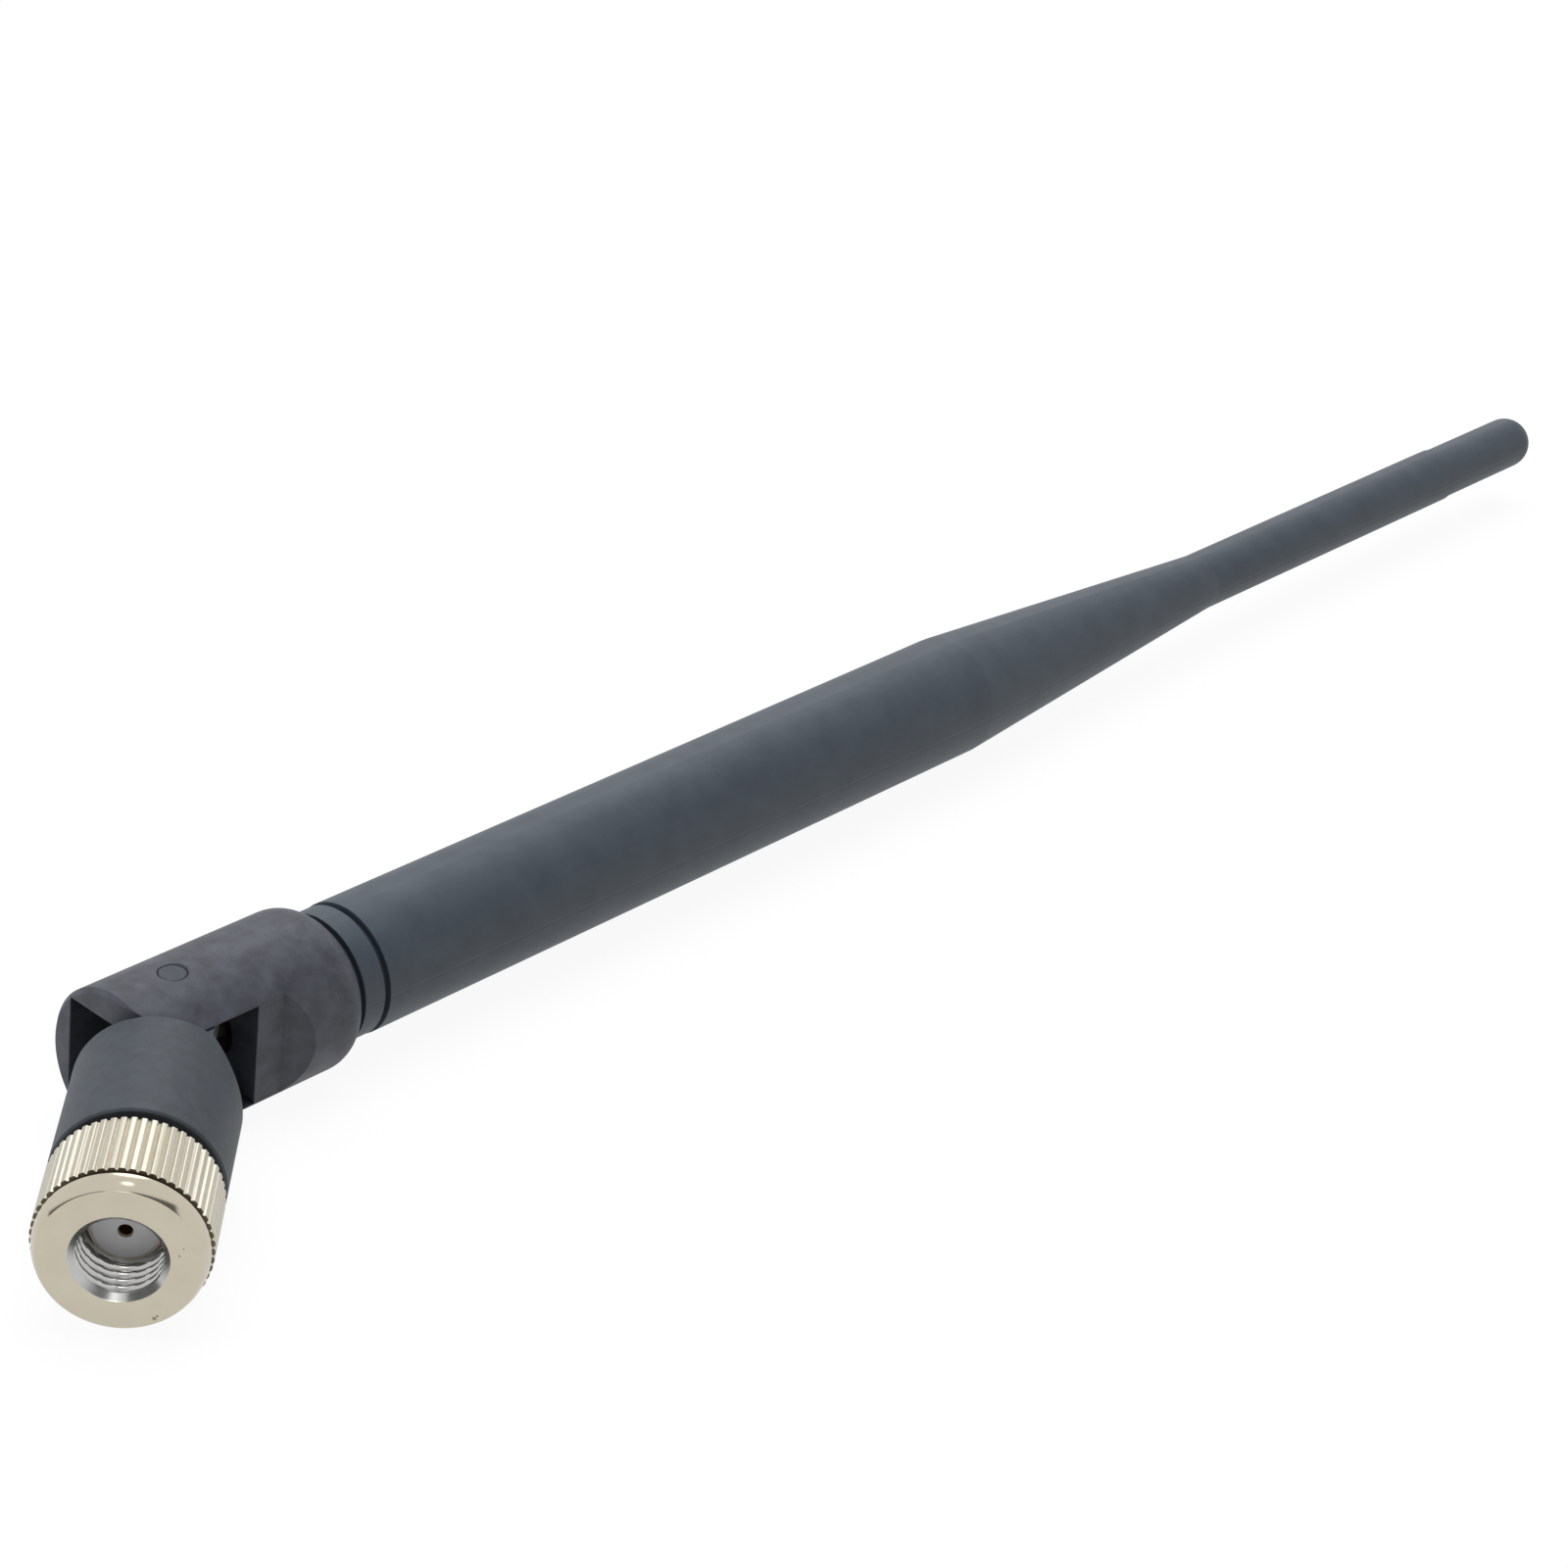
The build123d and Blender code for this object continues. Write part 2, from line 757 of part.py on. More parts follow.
# Tip plug: rubber cup on the rod's end, pushed to the end of the sleeve's bore
with BuildPart() as tip_plug:
    plug_start = sleeve_bore_end - plug_length
    with BuildSketch(whip_side):
        with BuildLine():
            Polyline(
                (plug_start, rod_radius + cable_fit),
                (rod_end, rod_radius + cable_fit),
                (rod_end, 0),
                (sleeve_bore_end - glue_gap, 0),
                (sleeve_bore_end - glue_gap, thin_bore_radius - glue_gap),
                (plug_start, thin_bore_radius - glue_gap),
                close=True,
            )
        make_face()
    revolve(axis=whip_axis)
tip_plug.part.label = "tip_plug"

os.makedirs("parts", exist_ok=True)
for name, piece in (
    ("coupling_nut", coupling_nut),
    ("nut_retaining_ring", nut_retaining_ring),
    ("connector_body", connector_body),
    ("connector_dielectric", connector_dielectric),
    ("centre_contact", centre_contact),
    ("crimp_ferrule", crimp_ferrule),
    ("knuckle", knuckle),
    ("fork_barrel", fork_barrel),
    ("whip_sleeve", whip_sleeve),
    ("cable_grommet", cable_grommet),
    ("coax_cable", coax_cable),
    ("radiator_tube", radiator_tube),
    ("lower_bush", lower_bush),
    ("feed_collar", feed_collar),
    ("cable_spacer", cable_spacer),
    ("tube_spacer", tube_spacer),
    ("rod_socket", rod_socket),
    ("radiator_rod", radiator_rod),
    ("feed_shrink_tube", feed_shrink_tube),
    ("taper_bead", taper_bead),
    ("tip_plug", tip_plug),
):
    export_step(piece.part, f"parts/{name}.step")
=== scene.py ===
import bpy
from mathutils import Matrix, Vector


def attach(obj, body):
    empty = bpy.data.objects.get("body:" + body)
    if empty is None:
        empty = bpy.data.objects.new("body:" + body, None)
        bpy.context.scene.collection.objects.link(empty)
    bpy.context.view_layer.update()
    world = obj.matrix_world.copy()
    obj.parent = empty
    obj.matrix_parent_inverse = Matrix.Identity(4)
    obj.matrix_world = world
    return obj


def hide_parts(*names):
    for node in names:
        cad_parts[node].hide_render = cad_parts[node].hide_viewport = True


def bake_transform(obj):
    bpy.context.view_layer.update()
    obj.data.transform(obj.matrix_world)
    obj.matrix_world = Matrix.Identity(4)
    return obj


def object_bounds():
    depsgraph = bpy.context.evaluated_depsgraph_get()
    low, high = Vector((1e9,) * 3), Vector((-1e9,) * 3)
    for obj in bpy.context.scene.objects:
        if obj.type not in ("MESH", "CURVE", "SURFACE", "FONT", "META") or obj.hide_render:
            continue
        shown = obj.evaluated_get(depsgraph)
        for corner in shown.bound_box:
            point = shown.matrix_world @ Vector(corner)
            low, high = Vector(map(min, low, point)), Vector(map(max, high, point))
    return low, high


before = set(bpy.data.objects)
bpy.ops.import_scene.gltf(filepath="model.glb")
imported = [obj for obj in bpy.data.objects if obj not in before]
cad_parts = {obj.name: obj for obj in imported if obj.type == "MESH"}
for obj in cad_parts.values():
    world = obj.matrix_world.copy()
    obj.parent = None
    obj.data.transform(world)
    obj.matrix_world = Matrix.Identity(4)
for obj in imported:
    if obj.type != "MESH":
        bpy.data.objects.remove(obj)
solid_box = [list(corner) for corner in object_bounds()]

from math import asin, cos, pi, radians, sin

import bpy
from mathutils import Matrix, Vector

# The picture: the antenna lies on a white sweep and is seen from beyond its plug, from above,
# through a long lens, so that the plug is near and the tip of the whip is far away. Lengths are
# in millimetres, turned to metres by mm; only the studio's floor and lamps are in metres.
mm = 0.001
bend = radians(42.0)
reference_plane = 21.37
toward_nut = Vector((-cos(bend), -sin(bend), 0.0))
hinge = -toward_nut * reference_plane
lens_length, sensor_width, nearest_metres = 90.998, 36.0, 0.01
camera_from_hinge = Vector((-152.064, -170.158, 151.383))
camera_right = Vector((0.66217, -0.74150, 0.10817))
camera_back = Vector((-0.68575, -0.54142, 0.48643))
camera_up = camera_back.cross(camera_right).normalized()
camera_right = camera_up.cross(camera_back).normalized()
camera_turn = Matrix((camera_right, camera_up, camera_back.normalized())).transposed().to_4x4()
camera = bpy.data.objects.new("studio_camera", bpy.data.cameras.new("studio_camera"))
bpy.context.scene.collection.objects.link(camera)
bpy.context.scene.camera = camera
camera.data.sensor_width = sensor_width
camera.data.lens = lens_length
camera.data.clip_start = nearest_metres
camera.matrix_world = Matrix.Translation((hinge + camera_from_hinge) * mm) @ camera_turn
bpy.context.scene.view_settings.view_transform = "Standard"


# The coupling nut: brass bar, turned, straight-knurled and nickel plated, free to spin on the plug.
# A smooth crowned collar stands in front of the knurl, and the mouth is countersunk into a 1/4-36
# thread. The plate is warm grey, bright on the edges and a little clouded on the face.
def linear(code):
    """An sRGB hex colour as linear light."""
    parts = [int(code[k : k + 2], 16) / 255 for k in (0, 2, 4)]
    return [p / 12.92 if p <= 0.04045 else ((p + 0.055) / 1.055) ** 2.4 for p in parts] + [1.0]


def add(material, kind, settings=None, inputs=None):
    """One node, with its settings, and each input set to a value or linked to a socket."""
    node = material.node_tree.nodes.new(kind)
    for name, value in (settings or {}).items():
        setattr(node, name, value)
    for socket, value in (inputs or {}).items():
        if isinstance(value, bpy.types.NodeSocket):
            material.node_tree.links.new(value, node.inputs[socket])
        else:
            node.inputs[socket].default_value = value
    return node


def new_material(name):
    """An empty node material and its Principled shader, linked to the output."""
    material = bpy.data.materials.new(name)
    material.use_nodes = True
    material.node_tree.nodes.clear()
    shader = add(material, "ShaderNodeBsdfPrincipled")
    add(material, "ShaderNodeOutputMaterial", inputs={"Surface": shader.outputs["BSDF"]})
    return material, shader


def link(material, socket, shader, name):
    material.node_tree.links.new(socket, shader.inputs[name])


def along(axis, start):
    """The place of a turned piece: its own Z is the axis, and its X is square to the hinge pin."""
    axis = axis.normalized()
    side = axis.cross(Vector((0, 0, 1))).normalized()
    rotation = Matrix((side, axis.cross(side), axis)).transposed().to_4x4()
    return Matrix.Translation(start * mm) @ rotation


def ring_mesh(name, rings, steps, place):
    """A closed mesh of rings about Z: each ring gives (radius, height) at an angle."""
    points = []
    for ring in rings:
        for k in range(steps):
            angle = 2 * pi * k / steps
            radius, height = ring(angle)
            points.append((radius * cos(angle) * mm, radius * sin(angle) * mm, height * mm))
    faces = []
    count = len(rings)
    for row in range(count):
        below, above = row * steps, ((row + 1) % count) * steps
        for k in range(steps):
            nxt = (k + 1) % steps
            faces.append((below + k, below + nxt, above + nxt, above + k))
    mesh = bpy.data.meshes.new(name)
    mesh.from_pydata(points, [], faces)
    mesh.validate()
    piece = bpy.data.objects.new(name, mesh)
    bpy.context.scene.collection.objects.link(piece)
    piece.matrix_world = place
    return piece


def smooth(piece, degrees_limit):
    """Smooth shading, with edges kept sharp where the surface turns by more than the limit."""
    for polygon in piece.data.polygons:
        polygon.use_smooth = True
    piece.data.set_sharp_from_angle(angle=radians(degrees_limit))


nut_rear, nut_face = 17.07, 24.55
knurl_tip, knurl_root, knurl_end, knurl_teeth = 5.88, 5.67, 22.85, 55
knurl_groove_share, knurl_unevenness, uneven_turn = 0.28, 0.010, 2.4
rear_slope_length, rear_slope_drop, rear_rim_drop = 0.12, 0.06, 0.08
undercut_radius, knurl_foot, collar_foot = 5.35, 0.04, 0.03
collar_start, collar_radius, face_radius, collar_edge = 23.15, 5.70, 5.27, 0.06
face_middle, mouth_radius, mouth_edge = 4.3, 3.30, 0.03
thread_major, thread_minor, thread_pitch, thread_bottom = 3.175, 2.84, 25.4 / 36, 20.75
thread_start_turn, thread_root_flat, thread_flank, thread_runout = 0.04, 0.08, 0.30, 0.15
countersink_depth = 0.50
rear_bore = 2.65
ring_groove_radius, ring_groove_front, ring_groove_rear = 2.95, 19.83, 19.22


def knurl_ring(height):
    """One ring of the knurl: flat-topped teeth, round-bottomed grooves, sloped off behind."""
    foot = knurl_root - rear_slope_drop
    rise = (height - nut_rear) / rear_slope_length

    def ring(angle):
        tooth, phase = divmod(angle * knurl_teeth / (2 * pi), 1)
        crest = knurl_tip - knurl_unevenness * (1 + sin(uneven_turn * tooth))
        valley = 0.5 + 0.5 * cos(pi * min(1.0, min(phase, 1 - phase) / knurl_groove_share))
        slope = foot + rise * (knurl_tip - knurl_root + rear_slope_drop)
        return min(crest - (crest - knurl_root) * valley, slope), height
    return ring


def thread_ring(height):
    """One ring of the thread, a 60 degree ridge that winds in from the countersink's end."""
    def ring(angle):
        depth = nut_face - height
        if depth < countersink_depth:
            return mouth_radius - depth * (mouth_radius - thread_minor) / countersink_depth, height
        phase = (depth / thread_pitch - angle / (2 * pi) + thread_start_turn) % 1
        ridge = (0.5 - abs(phase - 0.5) - thread_root_flat) / thread_flank
        ridge = max(0.0, min(1.0, ridge))
        runout = min(1.0, (height - thread_bottom) / thread_runout)
        return thread_major - (thread_major - thread_minor) * ridge * runout, height
    return ring


def plain_ring(radius, height):
    return lambda angle: (radius, height)


# The nut's profile runs from the rear bore over the knurl, the undercut and the collar to the
# face, and back through the mouth, the thread and the groove of the spring ring.
nut_rings = [plain_ring(rear_bore, nut_rear), plain_ring(knurl_root - rear_rim_drop, nut_rear)]
knurl_first = len(nut_rings)
slope_heights = [nut_rear + step for step in (0.002, 0.06, 0.12, 0.20)]
for height in (*slope_heights, 19.0, 21.0, knurl_end - 0.03):
    nut_rings.append(knurl_ring(height))
knurl_last = len(nut_rings)
nut_rings += [
    plain_ring(undercut_radius + knurl_foot, knurl_end),
    plain_ring(undercut_radius, knurl_end + knurl_foot),
    plain_ring(undercut_radius, collar_start - collar_foot),
    plain_ring(undercut_radius + collar_foot, collar_start),
]
undercut_last = len(nut_rings)
# The collar is one arc that leaves the undercut level and breaks crisply into the flat face.
collar_length, collar_drop = nut_face - collar_start, collar_radius - face_radius
crown = (collar_length**2 + collar_drop**2) / (2 * collar_drop)
crown_turn = asin((collar_length - collar_edge) / (crown - collar_edge))
crown_steps, edge_steps = 10, 4
for k in range(crown_steps + 1):
    turn = crown_turn * k / crown_steps
    radius = collar_radius - crown * (1 - cos(turn))
    nut_rings.append(plain_ring(radius, collar_start + crown * sin(turn)))
edge_centre = collar_radius - crown + (crown - collar_edge) * cos(crown_turn)
for k in range(1, edge_steps + 1):
    turn = crown_turn + (pi / 2 - crown_turn) * k / edge_steps
    nut_rings.append(
        plain_ring(edge_centre + collar_edge * cos(turn), nut_face - collar_edge * (1 - sin(turn)))
    )
nut_rings += [plain_ring(face_middle, nut_face), plain_ring(mouth_radius + mouth_edge, nut_face)]
bore_first = len(nut_rings)
thread_steps = 92
thread_length = nut_face - thread_bottom
for k in range(1, thread_steps + 1):
    nut_rings.append(thread_ring(nut_face - thread_length * k / thread_steps))
nut_rings += [
    plain_ring(rear_bore, thread_bottom),
    plain_ring(rear_bore, ring_groove_front),
    plain_ring(ring_groove_radius, ring_groove_front),
    plain_ring(ring_groove_radius, ring_groove_rear),
    plain_ring(rear_bore, ring_groove_rear),
]
nut_steps = 12 * knurl_teeth
nut = ring_mesh("knurled_nut", nut_rings, nut_steps, along(toward_nut, hinge))
smooth(nut, 50)

# Nickel plate over turned brass: warm, close to a mirror where it was turned and duller where it
# was knurled, faintly clouded over a few millimetres, with a few dark specks of dirt on the face.
nickel_cloud_size, knurl_cloud_size, groove_shade_cloud_size, bore_cloud_size = 1.8, 0.5, 0.3, 0.4
nickel, nickel_shader = new_material("nickel_plate_on_turned_brass")
nickel_place = add(nickel, "ShaderNodeTexCoord")
nickel_cloud = add(
    nickel, "ShaderNodeTexNoise", None,
    {
        "Vector": nickel_place.outputs["Object"], "Scale": 1 / (nickel_cloud_size * mm),
        "Detail": 4.0, "Roughness": 0.6,
    },
)
nickel_tone = add(
    nickel, "ShaderNodeMix", {"data_type": "RGBA"},
    {"Factor": nickel_cloud.outputs["Fac"], "A": linear("cbc3af"), "B": linear("d7d0bd")},
)
# Each speck: its turn round the face in degrees, its distance from the axis, and its size.
speck_places = ((11, 3.87, 0.10), (18, 4.25, 0.08), (299, 4.90, 0.20), (302, 4.82, 0.13))
nickel_colour = nickel_tone.outputs["Result"]
for turn, radius, size in speck_places:
    speck_at = (-radius * cos(radians(turn)) * mm, -radius * sin(radians(turn)) * mm, nut_face * mm)
    speck_distance = add(
        nickel, "ShaderNodeVectorMath", {"operation": "DISTANCE"},
        {0: nickel_place.outputs["Object"], 1: speck_at},
    )
    speck_share = add(
        nickel, "ShaderNodeMapRange", {"interpolation_type": "SMOOTHSTEP"},
        {
            "Value": speck_distance.outputs["Value"],
            "From Min": 0.3 * size * mm, "From Max": size * mm, "To Min": 0.75, "To Max": 0.0,
        },
    )
    nickel_colour = add(
        nickel, "ShaderNodeMix", {"data_type": "RGBA"},
        {"Factor": speck_share.outputs["Result"], "A": nickel_colour, "B": linear("6b6252")},
    ).outputs["Result"]
nickel_gloss = add(
    nickel, "ShaderNodeMapRange", None,
    {
        "Value": nickel_cloud.outputs["Fac"],
        "From Min": 0.3, "From Max": 0.7, "To Min": 0.10, "To Max": 0.17,
    },
)
nickel_shader.inputs["Metallic"].default_value = 1.0
link(nickel, nickel_colour, nickel_shader, "Base Color")
link(nickel, nickel_gloss.outputs["Result"], nickel_shader, "Roughness")
nut.data.materials.append(nickel)

# On the knurl the plate is duller, because the rolled surface scatters the light.
knurled_nickel, knurled_shader = new_material("nickel_plate_on_knurled_brass")
knurled_place = add(knurled_nickel, "ShaderNodeTexCoord")
knurled_cloud = add(
    knurled_nickel, "ShaderNodeTexNoise", None,
    {
        "Vector": knurled_place.outputs["Object"], "Scale": 1 / (knurl_cloud_size * mm),
        "Detail": 4.0, "Roughness": 0.6,
    },
)
knurled_tone = add(
    knurled_nickel, "ShaderNodeMix", {"data_type": "RGBA"},
    {"Factor": knurled_cloud.outputs["Fac"], "A": linear("c9c3b3"), "B": linear("d8d3c5")},
)
knurled_shader.inputs["Metallic"].default_value = 1.0
knurled_shader.inputs["Roughness"].default_value = 0.36
link(knurled_nickel, knurled_tone.outputs["Result"], knurled_shader, "Base Color")
nut.data.materials.append(knurled_nickel)

# The groove between knurl and collar is painted dull dark brown. This is painted shade for the
# shade that falls in the undercut, between the knurl's front wall and the collar.
groove_shade, groove_shade_shader = new_material("painted_shade_in_groove")
groove_shade_place = add(groove_shade, "ShaderNodeTexCoord")
groove_shade_cloud = add(
    groove_shade, "ShaderNodeTexNoise", None,
    {
        "Vector": groove_shade_place.outputs["Object"], "Scale": 1 / (groove_shade_cloud_size * mm),
        "Detail": 3.0,
    },
)
# Two dull browns, painted shade for the groove's shadow.
groove_shade_tone = add(
    groove_shade, "ShaderNodeMix", {"data_type": "RGBA"},
    {"Factor": groove_shade_cloud.outputs["Fac"], "A": linear("5f5443"), "B": linear("7d7260")},
)
groove_shade_shader.inputs["Metallic"].default_value = 1.0
groove_shade_shader.inputs["Roughness"].default_value = 0.45
link(groove_shade, groove_shade_tone.outputs["Result"], groove_shade_shader, "Base Color")
nut.data.materials.append(groove_shade)

# Inside the bore the plate is thinner and more neutral, and the tap has left it a little rough.
bore_nickel, bore_shader = new_material("nickel_plate_on_tapped_bore")
bore_place = add(bore_nickel, "ShaderNodeTexCoord")
bore_cloud = add(
    bore_nickel, "ShaderNodeTexNoise", None,
    {"Vector": bore_place.outputs["Object"], "Scale": 1 / (bore_cloud_size * mm), "Detail": 3.0},
)
bore_tone = add(
    bore_nickel, "ShaderNodeMix", {"data_type": "RGBA"},
    {"Factor": bore_cloud.outputs["Fac"], "A": linear("c2c2c0"), "B": linear("d2d2d0")},
)
bore_shader.inputs["Metallic"].default_value = 1.0
bore_shader.inputs["Roughness"].default_value = 0.22
link(bore_nickel, bore_tone.outputs["Result"], bore_shader, "Base Color")
nut.data.materials.append(bore_nickel)

# Each ring of faces takes the finish of the surface that it belongs to.
turned_finish, knurled_finish, groove_shade_finish, bore_finish = range(4)
for polygon in nut.data.polygons:
    row = polygon.index // nut_steps
    if knurl_first - 1 <= row < knurl_last - 1:
        polygon.material_index = knurled_finish
    # The groove's rings take the painted shade.
    elif knurl_last - 1 <= row < undercut_last:
        polygon.material_index = groove_shade_finish
    elif row >= bore_first:
        polygon.material_index = bore_finish
    else:
        polygon.material_index = turned_finish
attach(nut, "nut")
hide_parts("coupling_nut")


# The spring ring that holds the nut on the plug: round-edged bronze wire, split and snapped
# into a groove, out of sight between the nut and the body.
def dress(node, material):
    """The CAD node keeps its shape and takes this finish."""
    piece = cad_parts[node]
    piece.data.materials.clear()
    piece.data.materials.append(material)


def plain_metal(name, low, high, roughness, grain_mm):
    """Bare or plated metal of two close tones, with fine scratches as deep as its polish leaves.

    Real scratches are some hundredths of a millimetre wide, so the grain is drawn coarser."""
    material, shader = new_material(name)
    place = add(material, "ShaderNodeTexCoord")
    grain = add(
        material, "ShaderNodeTexNoise", None,
        {"Vector": place.outputs["Object"], "Scale": 1 / (grain_mm * mm), "Detail": 3.0},
    )
    tone = add(
        material, "ShaderNodeMix", {"data_type": "RGBA"},
        {"Factor": grain.outputs["Fac"], "A": linear(low), "B": linear(high)},
    )
    bump = add(
        material, "ShaderNodeBump", None,
        {"Height": grain.outputs["Fac"], "Strength": 0.08, "Distance": 0.02 * mm},
    )
    shader.inputs["Metallic"].default_value = 1.0
    shader.inputs["Roughness"].default_value = roughness
    link(material, tone.outputs["Result"], shader, "Base Color")
    link(material, bump.outputs["Normal"], shader, "Normal")
    return material


dress("nut_retaining_ring", plain_metal("spring_bronze_drawn", "9c7a45", "b8945a", 0.35, 0.4))

# The plug's body, contact and ferrule: turned brass, nickel plated outside; a gold plated socket
# for the centre pin; and a soft copper tube crimped over the braid.
dress("connector_body", plain_metal("nickel_plate_bore", "b9b3a6", "cfc9bc", 0.30, 0.5))
dress("centre_contact", plain_metal("gold_plated_contact", "bda468", "d4bd84", 0.30, 0.3))
dress("crimp_ferrule", plain_metal("annealed_copper_tube", "a9663f", "c27f55", 0.38, 0.5))


# The dielectric: a white fluoropolymer bush, turned from bar and pressed in the body, with its
# front face in the reference plane. It is waxy, and light goes a little way into it. Its tones are
# drawn light grey rather than white, as painted shade for the shade at the back of the bore.
def plain_polymer(name, low, high, roughness, grain_mm, bump_mm):
    """Moulded or turned polymer: two close tones, a fine surface and a soft gloss."""
    material, shader = new_material(name)
    place = add(material, "ShaderNodeTexCoord")
    grain = add(
        material, "ShaderNodeTexNoise", None,
        {"Vector": place.outputs["Object"], "Scale": 1 / (grain_mm * mm), "Detail": 4.0},
    )
    tone = add(
        material, "ShaderNodeMix", {"data_type": "RGBA"},
        {"Factor": grain.outputs["Fac"], "A": linear(low), "B": linear(high)},
    )
    bump = add(
        material, "ShaderNodeBump", None,
        {"Height": grain.outputs["Fac"], "Strength": 0.5, "Distance": bump_mm * mm},
    )
    shader.inputs["Roughness"].default_value = roughness
    link(material, tone.outputs["Result"], shader, "Base Color")
    link(material, bump.outputs["Normal"], shader, "Normal")
    return material


light_reach = 0.6
# The grey tones here are painted shade: the real bush is white.
fluoropolymer = plain_polymer("fluoropolymer_white_with_painted_shade", "c8c8ca", "d4d4d6", 0.42, 0.6, 0.01)
fluoropolymer_shader = fluoropolymer.node_tree.nodes["Principled BSDF"]
fluoropolymer_shader.inputs["Subsurface Weight"].default_value = 0.08
fluoropolymer_shader.inputs["Subsurface Radius"].default_value = [light_reach * mm] * 3
dress("connector_dielectric", fluoropolymer)


# The knuckle: a round bar of dark grey nylon with two ears and two trunnions, moulded in one piece
# and pushed on the plug's body. The mould was spark eroded, which leaves a fine matt skin.
def moulded_plastic(name, low, high, roughness, mottle_mm, grain_mm, edge_mm):
    """Moulded plastic: two close tones in soft mottles, a fine skin, and edges a little rounded.

    The real skin is a few hundredths of a millimetre fine, too fine to show, and drawn coarser."""
    material, shader = new_material(name)
    place = add(material, "ShaderNodeTexCoord")
    mottle = add(
        material, "ShaderNodeTexNoise", None,
        {
            "Vector": place.outputs["Object"], "Scale": 1 / (mottle_mm * mm),
            "Detail": 5.0, "Roughness": 0.62,
        },
    )
    share = add(
        material, "ShaderNodeMapRange", None,
        {"Value": mottle.outputs["Fac"], "From Min": 0.34, "From Max": 0.66},
    )
    tone = add(
        material, "ShaderNodeMix", {"data_type": "RGBA"},
        {"Factor": share.outputs["Result"], "A": linear(low), "B": linear(high)},
    )
    grain = add(
        material, "ShaderNodeTexNoise", None,
        {"Vector": place.outputs["Object"], "Scale": 1 / (grain_mm * mm), "Detail": 2.0},
    )
    edge = add(material, "ShaderNodeBevel", {"samples": 4}, {"Radius": edge_mm * mm})
    bump = add(
        material, "ShaderNodeBump", None,
        {
            "Height": grain.outputs["Fac"], "Strength": 0.45, "Distance": 0.012 * mm,
            "Normal": edge.outputs["Normal"],
        },
    )
    shader.inputs["Roughness"].default_value = roughness
    link(material, tone.outputs["Result"], shader, "Base Color")
    link(material, bump.outputs["Normal"], shader, "Normal")
    return material, shader, bump


knuckle_nylon = moulded_plastic("nylon_moulded_matt", "2f343a", "373d44", 0.56, 0.9, 0.16, 0.15)[0]
dress("knuckle", knuckle_nylon)

# The fork: a moulded barrel of the same nylon, from a coarser mould, slotted for the knuckle's
# ears. Its skin is mottled: paler, dry patches one or two millimetres across between darker ones.
fork_nylon = moulded_plastic("nylon_moulded_mottled", "2f3239", "454750", 0.54, 1.6, 0.18, 0.15)[0]
dress("fork_barrel", fork_nylon)

# The whip's sleeve: one long moulding in a two-part mould, which leaves a fine parting line along
# both sides, from the base to the end of the thick part. Its skin is smoother than the fork's.
parting_core, parting_edge, parting_depth = 0.03, 0.13, 0.04
sleeve_plastic, sleeve_shader, sleeve_bump = moulded_plastic(
    "polypropylene_moulded_satin", "303841", "374049", 0.50, 2.6, 0.30, 0.12
)
sleeve_place = add(sleeve_plastic, "ShaderNodeTexCoord")
sleeve_axes = add(
    sleeve_plastic, "ShaderNodeSeparateXYZ", None, {"Vector": sleeve_place.outputs["Object"]}
)
sleeve_height = add(
    sleeve_plastic, "ShaderNodeMath", {"operation": "ABSOLUTE"}, {0: sleeve_axes.outputs["Z"]}
)
parting_line = add(
    sleeve_plastic, "ShaderNodeMapRange", {"interpolation_type": "SMOOTHSTEP"},
    {
        "Value": sleeve_height.outputs[0], "From Min": parting_core * mm,
        "From Max": parting_edge * mm, "To Min": 1.0, "To Max": 0.0,
    },
)
parting_bump = add(
    sleeve_plastic, "ShaderNodeBump", {"invert": True},
    {
        "Height": parting_line.outputs["Result"], "Strength": 0.6, "Distance": parting_depth * mm,
        "Normal": sleeve_bump.outputs["Normal"],
    },
)
link(sleeve_plastic, parting_bump.outputs["Normal"], sleeve_shader, "Normal")
dress("whip_sleeve", sleeve_plastic)

# The cable: a thin coaxial lead with a brown fluoropolymer jacket. It leaves the plug through the
# knuckle, bends across the hinge, and runs up the whip to the feed. Drawn as a spline through its
# tangent points, it turns more tightly at the hinge than the solid cable does.
jacket = plain_polymer("fluoropolymer_jacket_brown", "312824", "40342e", 0.34, 0.5, 0.006)
whip_dir = Vector((1, 0, 0))
jacket_radius, bend_reach, blend_reach = 0.9, 4.606, 4.4
cable_points = [hinge + toward_nut * place for place in (8.4, 6.6, bend_reach)]
cable_points.append(hinge)
cable_points += [hinge + whip_dir * place for place in (bend_reach, 8.0, 20.0, 45.0, 79.3)]
cable_line = bpy.data.curves.new("coax_jacket", "CURVE")
cable_line.dimensions = "3D"
cable_spline = cable_line.splines.new("NURBS")
cable_spline.points.add(len(cable_points) - 1)
for point, place in zip(cable_spline.points, cable_points):
    point.co = (*(place * mm), 1.0)
cable_spline.order_u = 3
cable_spline.use_endpoint_u = True
cable_spline.resolution_u = 24
cable_line.bevel_depth = jacket_radius * mm
cable_line.bevel_resolution = 8
cable_line.use_fill_caps = True
cable_curve = bpy.data.objects.new("coax_jacket_line", cable_line)
bpy.context.scene.collection.objects.link(cable_curve)
cable_mesh = bpy.data.meshes.new_from_object(cable_curve)
bpy.data.objects.remove(cable_curve)
cable = bpy.data.objects.new("coax_jacket", cable_mesh)
bpy.context.scene.collection.objects.link(cable)
cable.data.materials.clear()
cable.data.materials.append(jacket)
smooth(cable, 40)
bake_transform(cable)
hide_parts("coax_cable")

